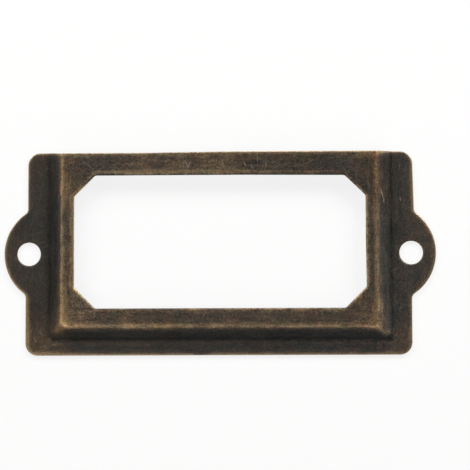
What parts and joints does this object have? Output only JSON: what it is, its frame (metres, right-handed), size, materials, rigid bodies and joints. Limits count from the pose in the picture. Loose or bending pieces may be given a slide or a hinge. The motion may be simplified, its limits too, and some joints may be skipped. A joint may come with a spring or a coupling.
{
  "type": "drawer label holder",
  "caption": "Pressed sheet-metal label holder for a drawer front: raised frame round a window, open at the top for the label, flat flange and two screw ears.",
  "frame": {"origin": "middle of the flat back, centred across the width over the ears and up the height, on the plane that lies on the drawer front", "axes": "+X across the holder from ear to ear, +Y up the drawer front to the open edge, +Z out of the drawer front through the window"},
  "size_m": [0.07, 0.033, 0.0025],
  "materials": {
    "antique_brass_plated_steel": "brass plate on sheet steel, darkened to a brown-black patina and rubbed back on bends and edges, satin"
  },
  "bodies": {
    "root": {"label_holder": "antique_brass_plated_steel"}
  },
  "joints": []
}
